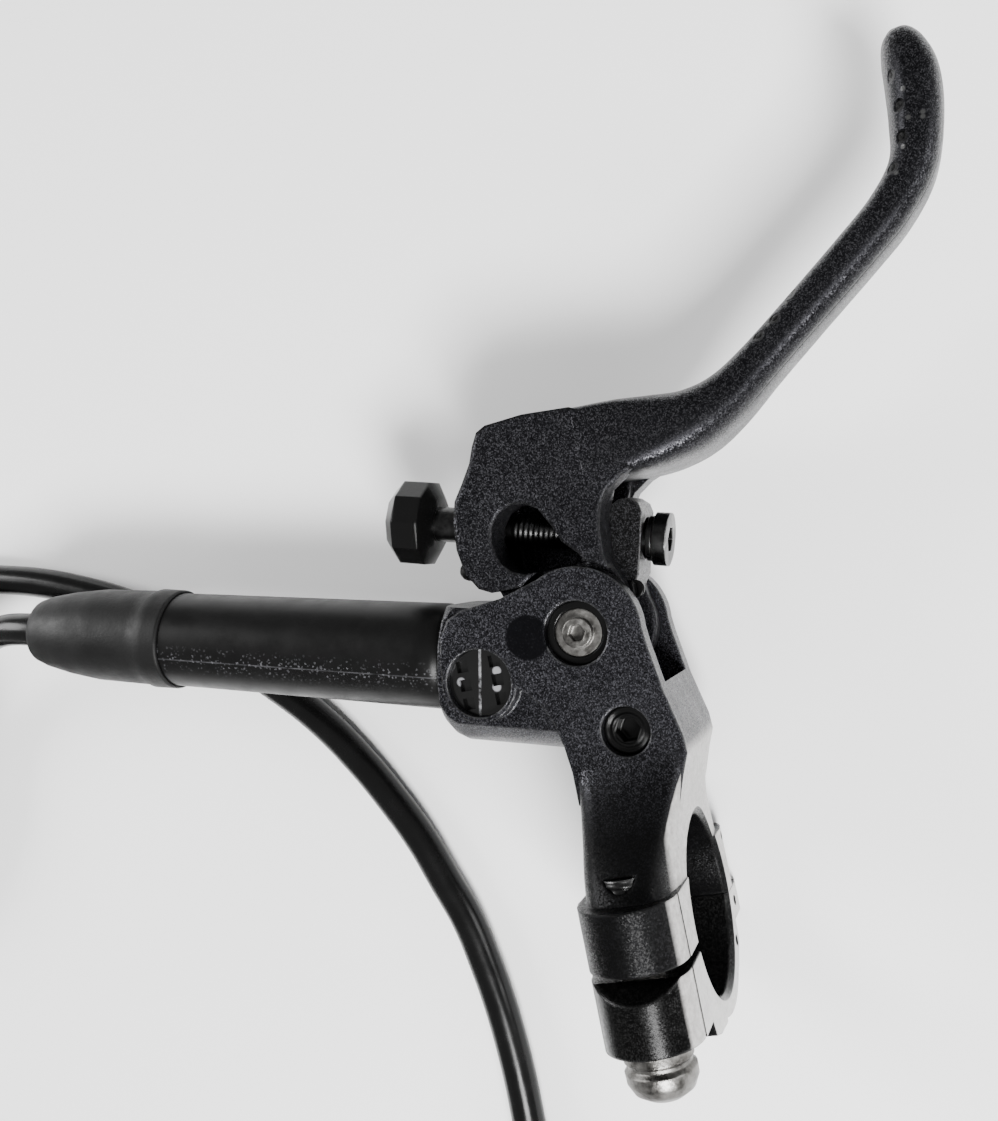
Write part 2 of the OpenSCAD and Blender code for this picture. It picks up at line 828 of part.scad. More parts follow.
module hose_coil() {
    color(rubber)
    translate([coil_c[0], coil_c[1], floor_z])
        rotate_extrude($fn = 96)
            polygon([[coil_in + 1, 0], [coil_out - 1, 0], [coil_out, 1.2], [coil_out, 8.8],
                [coil_out - 1, 10], [coil_in + 1, 10], [coil_in, 8.8], [coil_in, 1.2]]);
}

// two soft bands round the coil
module coil_ties() {
    color("dimgray")
    for (w = [100, 230])
        translate([coil_c[0], coil_c[1], 0])
            rotate([0, 0, w])
                translate([coil_r, 0, floor_z])
                    difference() {
                        translate([-hose_d - 0.7, -2, 0.001])
                            cube([2 * hose_d + 1.4, 4, 2 * hose_d + 0.8]);
                        translate([-hose_d - 0.1, -3, -1])
                            cube([2 * hose_d + 0.12, 6, 2 * hose_d + 1.02]);
                    }
}

// fitting at the hose's free end, pushed out straight along the hose
module hose_end_nut() {
    color(steel)
    translate(tail_end)
        rotate([90, 0, 0])
            difference() {
                union() {
                    translate([0, 0, -9])
                        cylinder(r = 4, h = 6, $fn = 6);
                    translate([0, 0, -3.1])
                        cylinder(r = 3.2, h = 5.1);
                }
                translate([0, 0, -12])
                    cylinder(d = hose_d + 0.1, h = 20);
            }
}

module hose_end_olive() {
    color("goldenrod")
    translate(tail_end)
        rotate([90, 0, 0])
            ring(2.5, 1.2, 2.6);
}

lever_body();
clamp_cap();
clamp_bolts();
pivot_pin();
pivot_bushes();
bleed_screws();
window_insert();
cylinder_tube();
retaining_ring();
reservoir_bladder();
end_boot();
hose_nut();
hose_olive();
piston();
piston_seals();
pushrod();
return_spring();
cam_link();
link_screw();
lever_blade();
stop_stub();
knob_bush();
reach_pads();
reach_knob();
reach_screw();
screw_disc();
hose_lead();
hose_coil();
hose_tail();
coil_ties();
hose_end_nut();
hose_end_olive();
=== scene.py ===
import math

import bmesh
import bpy
import numpy as np
from mathutils import Matrix, Vector


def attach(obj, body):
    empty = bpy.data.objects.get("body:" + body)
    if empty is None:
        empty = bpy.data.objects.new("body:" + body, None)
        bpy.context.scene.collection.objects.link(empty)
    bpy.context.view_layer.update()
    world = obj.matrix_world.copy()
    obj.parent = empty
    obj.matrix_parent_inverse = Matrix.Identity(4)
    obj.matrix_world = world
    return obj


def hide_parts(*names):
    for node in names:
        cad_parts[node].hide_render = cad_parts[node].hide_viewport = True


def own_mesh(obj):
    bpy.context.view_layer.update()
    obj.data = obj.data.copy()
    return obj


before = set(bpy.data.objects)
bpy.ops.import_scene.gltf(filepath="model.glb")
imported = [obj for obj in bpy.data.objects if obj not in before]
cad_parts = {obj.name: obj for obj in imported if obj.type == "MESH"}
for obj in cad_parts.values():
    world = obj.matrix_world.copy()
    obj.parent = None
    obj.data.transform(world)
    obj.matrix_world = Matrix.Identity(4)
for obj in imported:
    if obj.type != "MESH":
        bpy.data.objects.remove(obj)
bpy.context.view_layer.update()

scene = bpy.context.scene

# Camera
# It stands above the lever, a little inboard of the clamp's outer face, and looks
# down on the side that the rider sees. It is turned clockwise by eleven degrees.

yaw, pitch, roll = math.radians(19.12), math.radians(2.32), math.radians(-11.34)
right = Vector((math.cos(yaw), 0, -math.sin(yaw)))
ahead = Vector((-math.sin(yaw), 0, -math.cos(yaw)))
up = Vector((0, 1, 0))
ahead, up = (math.cos(pitch) * ahead + math.sin(pitch) * up,
             -math.sin(pitch) * ahead + math.cos(pitch) * up)
right, up = (math.cos(roll) * right + math.sin(roll) * up,
             -math.sin(roll) * right + math.cos(roll) * up)
camera = bpy.data.objects.new("camera", bpy.data.cameras.new("camera"))
scene.collection.objects.link(camera)
turn = Matrix((right, up, -ahead)).transposed().to_4x4()
camera.matrix_world = Matrix.Translation(Vector((0.0387, 0.0414, 0.1489))) @ turn
camera.data.sensor_width = 36
camera.data.lens = 1187 / 1121 * 36
camera.data.clip_start = 0.005
camera.data.clip_end = 10
camera.data.dof.use_dof = False
scene.camera = camera

# Hose
# A round black tube of five millimetres. It leaves the rubber boot, goes down into
# a coil past the left edge of the picture, and comes back under the cylinder.

tilt = math.radians(13.3)
pivot = np.array([-1.8, 36.7])
foot = pivot + 4.9 * np.array([-math.sin(tilt), -math.cos(tilt)])
hose_start = foot + 80.3 * np.array([-math.cos(tilt), math.sin(tilt)])


def lead_point(s):
    """Point at the distance s from the exit: ten millimetres straight, then an arc of
    radius 26, with a height that stays level in the boot and eases down to the coil."""
    heading = math.pi - tilt
    turned = heading + max(s - 10, 0) / 26
    x = hose_start[0] + min(s, 10) * math.cos(heading) + 26 * (math.sin(turned) - math.sin(heading))
    y = hose_start[1] + min(s, 10) * math.sin(heading) + 26 * (math.cos(heading) - math.cos(turned))
    if s < 7:
        z = 0
    elif s < 21:
        z = -0.4526 * (s - 7) ** 2 / 28
    elif s < 23:
        z = -3.168 - 0.4526 * (s - 21)
    else:
        z = -4.073 - 0.4526 * (s - 23) + 0.4526 * (s - 23) ** 2 / 56.8
    return [x, y, z]


def step(t, split):
    """Eased step from 0 to 1: t^2 / split up to split, then 1 - (1 - t)^2 / (1 - split)."""
    t = min(max(t, 0), 1)
    return t * t / split if t < split else 1 - (1 - t) ** 2 / (1 - split)


# The coil has two rows beside each other in two layers. The hose steps inward, down
# and outward again from row to row, each time over about a sixth of a turn.
coil_route = []
for angle in np.arange(0, 1346, 9.61):
    turned = math.radians(-12 - angle)
    radius = 30.5 - 5 * step((angle - 303) / 57, 0.72) + 5 * step((angle - 988) / 57, 0.28)
    height = -10.5 - 5 * step((angle - 645) / 57, 0.5)
    coil_route.append([-152 + radius * math.cos(turned), 39.2 + radius * math.sin(turned), height])
lead_route = [lead_point(s) for s in (0, 6.5, 10, 15, 20, 25, 30, 35, 40, 45)]
tail_route = [[-142.5, 68.8, -15.5], [-137, 68.1, -15.5],
              [-131.5, 67.4, -15.5], [-126, 66.6, -15.5], [-120, 65.6, -15.5],
              [-114, 64.6, -15.5], [-108, 63.3, -15.5], [-100, 61.2, -15.5],
              [-92, 58.3, -15.5], [-84.7, 55, -15.5], [-76, 50, -15.5], [-67, 43.6, -15.5],
              [-59, 36.8, -15.5], [-52.1, 30, -15.5], [-46.7, 22.9, -15.5],
              [-42.5, 16.1, -15.5], [-39.1, 9.6, -15.5], [-36.6, 3.2, -15.5],
              [-34.2, -3.1, -15.5], [-32.8, -9.3, -15.5], [-31.8, -15.3, -15.5],
              [-31.2, -21.3, -15.5], [-30.9, -27.3, -15.5], [-30.9, -34, -15.5],
              [-30.9, -43, -15.5], [-30.9, -52, -15.5]]
route = np.array(lead_route + coil_route + tail_route) / 1000

hose_curve = bpy.data.curves.new("hose", "CURVE")
hose_curve.dimensions = "3D"
spline = hose_curve.splines.new("BEZIER")
spline.bezier_points.add(len(route) - 1)
for knot, place in zip(spline.bezier_points, route):
    knot.co = Vector(place)
    knot.handle_left_type = knot.handle_right_type = "AUTO"
    knot.radius = 0.0025
spline.resolution_u = 8
hose_curve.bevel_depth = 1
hose_curve.bevel_resolution = 6
hose_curve.use_fill_caps = True
hose = bpy.data.objects.new("hose", hose_curve)
scene.collection.objects.link(hose)
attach(hose, "base")
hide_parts("hose_lead", "hose_coil", "hose_tail")

# Floor and light
# A pale plain floor under the hose, a large soft lamp behind the camera's lower edge
# that lights the flat faces, and two weaker ones for the sides.

floor_mesh = bpy.data.meshes.new("floor")
floor_mesh.from_pydata([(-1.5, -1.5, -0.0181), (1.5, -1.5, -0.0181), (1.5, 1.5, -0.0181),
                        (-1.5, 1.5, -0.0181)], [], [(0, 1, 2, 3)])
floor = bpy.data.objects.new("floor", floor_mesh)
scene.collection.objects.link(floor)
paper = bpy.data.materials.new("floor")
paper.use_nodes = True
paper.node_tree.nodes["Principled BSDF"].inputs["Base Color"].default_value = (0.93, 0.93, 0.93, 1)
paper.node_tree.nodes["Principled BSDF"].inputs["Roughness"].default_value = 0.95
paper.node_tree.nodes["Principled BSDF"].inputs["Specular IOR Level"].default_value = 0.1
floor_mesh.materials.append(paper)

for name, place, size, power in (
        ("key_light", (0.17, -0.30, 0.48), 0.22, 10),
        ("side_light", (0.52, 0.02, 0.22), 0.20, 1.5),
        ("back_light", (-0.55, 0.30, 0.30), 0.30, 5)):
    lamp = bpy.data.objects.new(name, bpy.data.lights.new(name, "AREA"))
    lamp.data.size = size
    lamp.data.energy = power
    lamp.location = place
    aim = Vector((-0.01, 0.03, 0)) - Vector(place)
    lamp.rotation_euler = aim.to_track_quat("-Z", "Y").to_euler()
    scene.collection.objects.link(lamp)
world = bpy.data.worlds.new("studio")
scene.world = world
world.use_nodes = True
world.node_tree.nodes["Background"].inputs["Color"].default_value = (1, 1, 1, 1)
world.node_tree.nodes["Background"].inputs["Strength"].default_value = 0.45

# Shared surface effects
# Node groups: a rounded normal with a mask of the edges, metal flakes that glitter,
# and patchy noise. The shaders themselves stay in each material.


def add(tree, kind, **values):
    """A node of that kind. A value that is a socket is linked, any other is set."""
    made = tree.nodes.new(kind)
    for key, value in values.items():
        if key in ("operation", "blend_type", "data_type", "feature", "noise_dimensions"):
            setattr(made, key, value)
            continue
        where = made.inputs[int(key[1:])] if key[0] == "i" and key[1:].isdigit() else made.inputs[
            key.replace("_", " ")]
        if isinstance(value, bpy.types.NodeSocket):
            tree.links.new(value, where)
        else:
            where.default_value = value
    return made


def new_group(name, takes, gives):
    tree = bpy.data.node_groups.new(name, "ShaderNodeTree")
    for socket, kind in takes:
        tree.interface.new_socket(socket, in_out="INPUT", socket_type=kind)
    for socket, kind in gives:
        tree.interface.new_socket(socket, in_out="OUTPUT", socket_type=kind)
    return tree, tree.nodes.new("NodeGroupInput"), tree.nodes.new("NodeGroupOutput")


edge_group, taken, given = new_group("rounded_edge", [("Radius", "NodeSocketFloat")],
                                     [("Normal", "NodeSocketVector"), ("Edge", "NodeSocketFloat")])
soft = edge_group.nodes.new("ShaderNodeBevel")
soft.samples = 6
edge_group.links.new(taken.outputs["Radius"], soft.inputs["Radius"])
flat = edge_group.nodes.new("ShaderNodeNewGeometry")
align = add(edge_group, "ShaderNodeVectorMath", operation="DOT_PRODUCT", i0=soft.outputs[0],
            i1=flat.outputs["Normal"])
bent = add(edge_group, "ShaderNodeMapRange", Value=align.outputs["Value"])
bent.inputs["From Min"].default_value = 0.995
bent.inputs["From Max"].default_value = 0.8
edge_group.links.new(soft.outputs[0], given.inputs["Normal"])
edge_group.links.new(bent.outputs["Result"], given.inputs["Edge"])

flake_group, taken, given = new_group(
    "flakes", [("Normal", "NodeSocketVector"), ("Scale", "NodeSocketFloat"),
               ("Spread", "NodeSocketFloat")],
    [("Normal", "NodeSocketVector"), ("Spark", "NodeSocketFloat")])
place = flake_group.nodes.new("ShaderNodeTexCoord")
cells = add(flake_group, "ShaderNodeTexVoronoi", Vector=place.outputs["Object"])
flake_group.links.new(taken.outputs["Scale"], cells.inputs["Scale"])
centred = add(flake_group, "ShaderNodeVectorMath", operation="SUBTRACT", i0=cells.outputs["Color"],
              i1=(0.5, 0.5, 0.5))
spread = flake_group.nodes.new("ShaderNodeVectorMath")
spread.operation = "SCALE"
flake_group.links.new(centred.outputs["Vector"], spread.inputs[0])
flake_group.links.new(taken.outputs["Spread"], spread.inputs["Scale"])
tipped = add(flake_group, "ShaderNodeVectorMath", operation="ADD", i0=taken.outputs["Normal"],
             i1=spread.outputs["Vector"])
unit = add(flake_group, "ShaderNodeVectorMath", operation="NORMALIZE", i0=tipped.outputs["Vector"])
parts = add(flake_group, "ShaderNodeSeparateColor", Color=cells.outputs["Color"])
bright = add(flake_group, "ShaderNodeMath", operation="POWER", i0=parts.outputs["Green"], i1=3.0)
flake_group.links.new(unit.outputs["Vector"], given.inputs["Normal"])
flake_group.links.new(bright.outputs["Value"], given.inputs["Spark"])

patch_group, taken, given = new_group(
    "patches", [("Scale", "NodeSocketFloat"), ("Low", "NodeSocketFloat"),
                ("High", "NodeSocketFloat")], [("Value", "NodeSocketFloat")])
place = patch_group.nodes.new("ShaderNodeTexCoord")
cloud = add(patch_group, "ShaderNodeTexNoise", Vector=place.outputs["Object"], Detail=5.0,
            Roughness=0.6)
patch_group.links.new(taken.outputs["Scale"], cloud.inputs["Scale"])
ranged = add(patch_group, "ShaderNodeMapRange", Value=cloud.outputs["Fac"])
ranged.inputs["From Min"].default_value = 0.32
ranged.inputs["From Max"].default_value = 0.68
patch_group.links.new(taken.outputs["Low"], ranged.inputs["To Min"])
patch_group.links.new(taken.outputs["High"], ranged.inputs["To Max"])
patch_group.links.new(ranged.outputs["Result"], given.inputs["Value"])


def use(tree, group, **values):
    made = tree.nodes.new("ShaderNodeGroup")
    made.node_tree = group
    for key, value in values.items():
        if isinstance(value, bpy.types.NodeSocket):
            tree.links.new(value, made.inputs[key])
        else:
            made.inputs[key].default_value = value
    return made


def mixed(tree, factor, low, high):
    """A colour between two others."""
    made = tree.nodes.new("ShaderNodeMix")
    made.data_type = "RGBA"
    for index, value in ((0, factor), (6, low), (7, high)):
        if isinstance(value, bpy.types.NodeSocket):
            tree.links.new(value, made.inputs[index])
        else:
            made.inputs[index].default_value = (*value, 1) if index else value
    return made.outputs[2]


def bare_material(name):
    made = bpy.data.materials.new(name)
    made.use_nodes = True
    return made, made.node_tree, made.node_tree.nodes["Principled BSDF"]


def link(tree, shader, **values):
    for key, value in values.items():
        where = shader.inputs[key.replace("_", " ")]
        if isinstance(value, bpy.types.NodeSocket):
            tree.links.new(value, where)
        else:
            where.default_value = value


def flaked(name, dark, light, rough, scale, spread, edge_light, radius):
    """Paint with metal flakes: dark between the flakes, lighter on some, worn at the edges."""
    made, tree, shader = bare_material(name)
    edge = use(tree, edge_group, Radius=radius)
    flake = use(tree, flake_group, Normal=edge.outputs["Normal"], Scale=scale, Spread=spread)
    dust = use(tree, patch_group, Scale=160.0, Low=rough - 0.05, High=rough + 0.07)
    paint = mixed(tree, flake.outputs["Spark"], dark, light)
    wear = use(tree, patch_group, Scale=900.0, Low=0.0, High=1.0)
    worn = add(tree, "ShaderNodeMath", operation="MULTIPLY", i0=edge.outputs["Edge"],
               i1=wear.outputs["Value"])
    colour = mixed(tree, worn.outputs["Value"], paint, edge_light)
    link(tree, shader, Base_Color=colour, Metallic=0.75, Roughness=dust.outputs["Value"],
         Normal=flake.outputs["Normal"], Specular_IOR_Level=0.15)
    return made, tree, shader, colour


def assign(material, *nodes):
    for name in nodes:
        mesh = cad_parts[name].data
        mesh.materials.clear()
        mesh.materials.append(material)


# Housing and clamp cap
# Graphite paint with fine flakes. The outboard side of the clamp is left as machined
# aluminium, and a round dark place beside the pivot is bare of flakes. Towards the clamp
# the housing is painted darker as painted shade, and the cap has a darker coat that is
# partly its own darker paint and partly painted shade.

housing, tree, shader, colour = flaked("housing", (0.005, 0.005, 0.006), (0.085, 0.085, 0.096),
                                       0.34, 7500.0, 0.28, (0.10, 0.10, 0.10), 0.0005)
place = tree.nodes.new("ShaderNodeTexCoord")
away = add(tree, "ShaderNodeVectorMath", operation="DISTANCE", i0=place.outputs["Object"],
           i1=(-0.0080, 0.0373, 0.0095))
spot = add(tree, "ShaderNodeMapRange", Value=away.outputs["Value"])
spot.inputs["From Min"].default_value = 0.0030
spot.inputs["From Max"].default_value = 0.0027
spotted = mixed(tree, spot.outputs["Result"], colour, (0.004, 0.004, 0.005))
facing = add(tree, "ShaderNodeSeparateXYZ", Vector=place.outputs["Normal"])
where = add(tree, "ShaderNodeSeparateXYZ", Vector=place.outputs["Object"])
side = add(tree, "ShaderNodeMapRange", Value=facing.outputs["X"])
side.inputs["From Min"].default_value = 0.80
side.inputs["From Max"].default_value = 0.86
below = add(tree, "ShaderNodeMapRange", Value=where.outputs["Y"])
below.inputs["From Min"].default_value = 0.0215
below.inputs["From Max"].default_value = 0.0200
outer = add(tree, "ShaderNodeMapRange", Value=where.outputs["X"])
outer.inputs["From Min"].default_value = 0.0050
outer.inputs["From Max"].default_value = 0.0054
# Painted shade: the paint is mixed towards near black from 24 mm down to 12 mm, where the lower
# housing lies in shade.
low = add(tree, "ShaderNodeMapRange", Value=where.outputs["Y"])
low.inputs["From Min"].default_value = 0.0240
low.inputs["From Max"].default_value = 0.0120
low.inputs["To Max"].default_value = 0.92
spotted = mixed(tree, low.outputs["Result"], spotted, (0.004, 0.004, 0.004))
machined = add(tree, "ShaderNodeMath", operation="MULTIPLY", i0=side.outputs["Result"],
               i1=below.outputs["Result"])
machined = add(tree, "ShaderNodeMath", operation="MULTIPLY", i0=machined.outputs["Value"],
               i1=outer.outputs["Result"])
grain = use(tree, patch_group, Scale=1400.0, Low=0.0, High=1.0)
metal = mixed(tree, grain.outputs["Value"], (0.28, 0.272, 0.262), (0.45, 0.44, 0.43))
colour = mixed(tree, machined.outputs["Value"], spotted, metal)
link(tree, shader, Base_Color=colour)
assign(housing, "lever_body", "clamp_cap")

# Painted shade, in part: the cap's coat is darker than the housing's, partly as its own darker paint
# and partly as painted shade.
cap_paint_and_shade, tree, shader, colour = flaked("cap_paint_and_shade", (0.004, 0.004, 0.004), (0.03, 0.03, 0.03),
                                         0.20, 7500.0, 0.12, (0.05, 0.05, 0.05), 0.0005)
place = tree.nodes.new("ShaderNodeTexCoord")
facing = add(tree, "ShaderNodeSeparateXYZ", Vector=place.outputs["Normal"])
side = add(tree, "ShaderNodeMapRange", Value=facing.outputs["X"])
side.inputs["From Min"].default_value = 0.80
side.inputs["From Max"].default_value = 0.86
grain = use(tree, patch_group, Scale=1400.0, Low=0.0, High=1.0)
metal = mixed(tree, grain.outputs["Value"], (0.28, 0.272, 0.262), (0.45, 0.44, 0.43))
colour = mixed(tree, side.outputs["Result"], colour, metal)
link(tree, shader, Base_Color=colour)
assign(cap_paint_and_shade, "clamp_cap")

# Blade, link and pads
# The blade has a darker coat of the same paint. The link's arm is lighter at its rims.

heel_paint, tree, shader, colour = flaked("heel_paint", (0.004, 0.004, 0.005), (0.065, 0.065, 0.072),
                                          0.34, 7500.0, 0.26, (0.02, 0.02, 0.02), 0.0009)
assign(heel_paint, "lever_blade")
link_paint, tree, shader, colour = flaked("link_paint", (0.005, 0.005, 0.005), (0.08, 0.08, 0.085),
                                          0.32, 7500.0, 0.25, (0.20, 0.20, 0.20), 0.0004)
assign(link_paint, "cam_link")

# Steel
# Worn screws and pins: a rolled surface with small pits, duller in patches.

steel, tree, shader = bare_material("steel")
edge = use(tree, edge_group, Radius=0.0003)
patch = use(tree, patch_group, Scale=700.0, Low=0.0, High=1.0)
dull = use(tree, patch_group, Scale=350.0, Low=0.26, High=0.5)
pits = use(tree, patch_group, Scale=2600.0, Low=0.0, High=1.0)
bump = add(tree, "ShaderNodeBump", Height=pits.outputs["Value"], Normal=edge.outputs["Normal"],
           Strength=0.35, Distance=0.00005)
link(tree, shader, Metallic=1.0, Roughness=dull.outputs["Value"], Normal=bump.outputs["Normal"],
     Base_Color=mixed(tree, patch.outputs["Value"], (0.06, 0.057, 0.053), (0.22, 0.215, 0.205)))
assign(steel, "clamp_bolts", "pivot_pin", "retaining_ring", "pushrod", "return_spring",
       "hose_nut", "hose_end_nut")

dark_steel, tree, shader = bare_material("dark_steel")
edge = use(tree, edge_group, Radius=0.0003)
patch = use(tree, patch_group, Scale=900.0, Low=0.0, High=1.0)
dull = use(tree, patch_group, Scale=400.0, Low=0.22, High=0.42)
rim = mixed(tree, edge.outputs["Edge"],
            mixed(tree, patch.outputs["Value"], (0.02, 0.02, 0.02), (0.05, 0.05, 0.05)),
            (0.28, 0.28, 0.28))
link(tree, shader, Metallic=1.0, Roughness=dull.outputs["Value"], Base_Color=rim,
     Normal=edge.outputs["Normal"])
assign(dark_steel, "reach_screw", "screw_disc", "reach_pads")

piston_metal, tree, shader = bare_material("piston_metal")
grain = use(tree, patch_group, Scale=1800.0, Low=0.25, High=0.45)
link(tree, shader, Metallic=1.0, Base_Color=(0.72, 0.72, 0.73, 1), Roughness=grain.outputs["Value"])
assign(piston_metal, "piston")

brass, tree, shader = bare_material("brass")
grain = use(tree, patch_group, Scale=1500.0, Low=0.22, High=0.42)
link(tree, shader, Metallic=1.0, Base_Color=(0.60, 0.42, 0.16, 1), Roughness=grain.outputs["Value"])
assign(brass, "hose_olive", "hose_end_olive")

# Cylinder
# Satin black with a faint seam along its near side and specks beside the seam.

satin, tree, shader = bare_material("cylinder")
edge = use(tree, edge_group, Radius=0.0004)
dull = use(tree, patch_group, Scale=300.0, Low=0.30, High=0.42)
place = tree.nodes.new("ShaderNodeTexCoord")
turned = tree.nodes.new("ShaderNodeVectorRotate")
turned.rotation_type = "Z_AXIS"
turned.inputs["Angle"].default_value = tilt
turned.inputs["Center"].default_value = (foot[0] / 1000, foot[1] / 1000, 0)
tree.links.new(place.outputs["Object"], turned.inputs["Vector"])
across = add(tree, "ShaderNodeSeparateXYZ", Vector=turned.outputs["Vector"])
offset = add(tree, "ShaderNodeMath", operation="SUBTRACT", i0=across.outputs["Y"],
             i1=foot[1] / 1000 - 0.0022)
offset = add(tree, "ShaderNodeMath", operation="ABSOLUTE", i0=offset.outputs["Value"])
near = add(tree, "ShaderNodeMath", operation="GREATER_THAN", i0=across.outputs["Z"], i1=0.003)
seam = add(tree, "ShaderNodeMapRange", Value=offset.outputs["Value"])
seam.inputs["From Min"].default_value = 0.00012
seam.inputs["From Max"].default_value = 0.00004
band = add(tree, "ShaderNodeMapRange", Value=offset.outputs["Value"])
band.inputs["From Min"].default_value = 0.0022
band.inputs["From Max"].default_value = 0.0
flecks = add(tree, "ShaderNodeTexVoronoi", Vector=place.outputs["Object"], Scale=4200.0)
fleck = add(tree, "ShaderNodeSeparateColor", Color=flecks.outputs["Color"])
rare = add(tree, "ShaderNodeMapRange", Value=fleck.outputs["Red"])
rare.inputs["From Min"].default_value = 0.86
rare.inputs["From Max"].default_value = 1.0
speck = add(tree, "ShaderNodeMath", operation="MULTIPLY", i0=rare.outputs["Result"],
            i1=band.outputs["Result"])
broken = use(tree, patch_group, Scale=500.0, Low=0.0, High=0.8)
line = add(tree, "ShaderNodeMath", operation="MULTIPLY", i0=seam.outputs["Result"],
           i1=broken.outputs["Value"])
marks = add(tree, "ShaderNodeMath", operation="MAXIMUM", i0=speck.outputs["Value"],
            i1=line.outputs["Value"])
marks = add(tree, "ShaderNodeMath", operation="MULTIPLY", i0=marks.outputs["Value"],
            i1=near.outputs["Value"])
link(tree, shader, Base_Color=mixed(tree, marks.outputs["Value"], (0.003, 0.003, 0.003),
                                    (0.07, 0.07, 0.075)),
     Roughness=dull.outputs["Value"], Normal=edge.outputs["Normal"], Specular_IOR_Level=0.14)
assign(satin, "cylinder_tube")

# Rubber and plastic
# Matt black rubber with a fine grain, and harder moulded pieces with a slight gloss.


def moulded(name, colour, low, high, scale, radius, depth):
    made, tree, shader = bare_material(name)
    edge = use(tree, edge_group, Radius=radius)
    dull = use(tree, patch_group, Scale=260.0, Low=low, High=high)
    grain = use(tree, patch_group, Scale=scale, Low=0.0, High=1.0)
    bump = add(tree, "ShaderNodeBump", Height=grain.outputs["Value"],
               Normal=edge.outputs["Normal"], Strength=0.3, Distance=depth)
    link(tree, shader, Base_Color=(*colour, 1), Roughness=dull.outputs["Value"],
         Normal=bump.outputs["Normal"], Specular_IOR_Level=0.18)
    return made


assign(moulded("rubber", (0.004, 0.004, 0.004), 0.42, 0.60, 2200.0, 0.0004, 0.00004),
       "end_boot", "stop_stub", "piston_seals", "reservoir_bladder")
moulding = moulded("plastic", (0.003, 0.003, 0.003), 0.14, 0.22, 1500.0, 0.0004, 0.00002)
assign(moulding,
       "reach_knob", "pivot_bushes", "bleed_screws", "knob_bush", "link_screw")
assign(moulded("tie_band", (0.03, 0.03, 0.03), 0.45, 0.6, 1800.0, 0.0003, 0.00004), "coil_ties")
hose_curve.materials.append(moulded("hose", (0.003, 0.003, 0.003), 0.20, 0.30, 900.0, 0.0001,
                                    0.00001))

# Window
# Black glass with four pale patches and a broken pale line across its middle. The patches
# are painted light: the upper two a painted highlight of the reach rod behind the window,
# the lower two the lit floor seen through it.

window, tree, shader = bare_material("window")
place = tree.nodes.new("ShaderNodeTexCoord")
pale = None
# Painted light: the four pale patches stand for the rod's highlight and the lit floor seen through
# the window.
for x, y in ((-17.8, 35.2), (-18.2, 33.3), (-13.2, 33.9), (-13.6, 31.9)):
    away = add(tree, "ShaderNodeVectorMath", operation="DISTANCE", i0=place.outputs["Object"],
               i1=(x / 1000, y / 1000, 0.0084))
    inside = add(tree, "ShaderNodeMapRange", Value=away.outputs["Value"])
    inside.inputs["From Min"].default_value = 0.00065
    inside.inputs["From Max"].default_value = 0.00045
    pale = inside.outputs["Result"] if pale is None else add(
        tree, "ShaderNodeMath", operation="MAXIMUM", i0=pale,
        i1=inside.outputs["Result"]).outputs["Value"]
across = add(tree, "ShaderNodeVectorMath", operation="DOT_PRODUCT", i0=place.outputs["Object"],
             i1=(0.98, -0.199, 0.0))
offset = add(tree, "ShaderNodeMath", operation="SUBTRACT", i0=across.outputs["Value"],
             i1=-0.02193)
offset = add(tree, "ShaderNodeMath", operation="ABSOLUTE", i0=offset.outputs["Value"])
line = add(tree, "ShaderNodeMapRange", Value=offset.outputs["Value"])
line.inputs["From Min"].default_value = 0.00022
line.inputs["From Max"].default_value = 0.00012
broken = use(tree, patch_group, Scale=900.0, Low=-0.4, High=1.2)
dashes = add(tree, "ShaderNodeMath", operation="MULTIPLY", i0=line.outputs["Result"],
             i1=broken.outputs["Value"])
pale = add(tree, "ShaderNodeMath", operation="MAXIMUM", i0=pale, i1=dashes.outputs["Value"])
dull = use(tree, patch_group, Scale=600.0, Low=0.12, High=0.2)
link(tree, shader, Roughness=dull.outputs["Value"],
     Base_Color=mixed(tree, pale.outputs["Value"], (0.003, 0.003, 0.003), (0.20, 0.20, 0.21)))
assign(window, "window_insert")

# Blade
# A fine skin over the blade's loft, a few hundredths of a millimetre outside it, with the
# grip pits near the tip and at the bend, and the thin line along the outer edge. The pits
# and the line are painted near black as painted shade, with painted highlights as pale dots
# on the pits' rims and a pale line beside the dark one.


def grid_piece(name, rings, material, body):
    """Closed mesh through rings of equal length, with flat ends. Each point keeps the
    share of its turn and of the length as attributes."""
    rings = np.asarray(rings)
    rows, sides = rings.shape[:2]
    points = rings.reshape(-1, 3) / 1000
    faces = [list(range(sides))[::-1], [(rows - 1) * sides + i for i in range(sides)]]
    for row in range(rows - 1):
        for i in range(sides):
            j = (i + 1) % sides
            faces.append([row * sides + i, row * sides + j, (row + 1) * sides + j,
                          (row + 1) * sides + i])
    mesh = bpy.data.meshes.new(name)
    mesh.from_pydata(points.tolist(), [], faces)
    tuned = bmesh.new()
    tuned.from_mesh(mesh)
    bmesh.ops.recalc_face_normals(tuned, faces=tuned.faces)
    tuned.to_mesh(mesh)
    tuned.free()
    around = mesh.attributes.new("around", "FLOAT", "POINT")
    around.data.foreach_set("value", np.tile(np.arange(sides) / sides, rows))
    along = mesh.attributes.new("along", "FLOAT", "POINT")
    along.data.foreach_set("value", np.repeat(np.arange(rows) / (rows - 1), sides))
    mesh.polygons.foreach_set("use_smooth", [len(face) == 4 for face in faces])
    mesh.materials.append(material)
    piece = bpy.data.objects.new(name, mesh)
    scene.collection.objects.link(piece)
    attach(piece, body)
    return piece


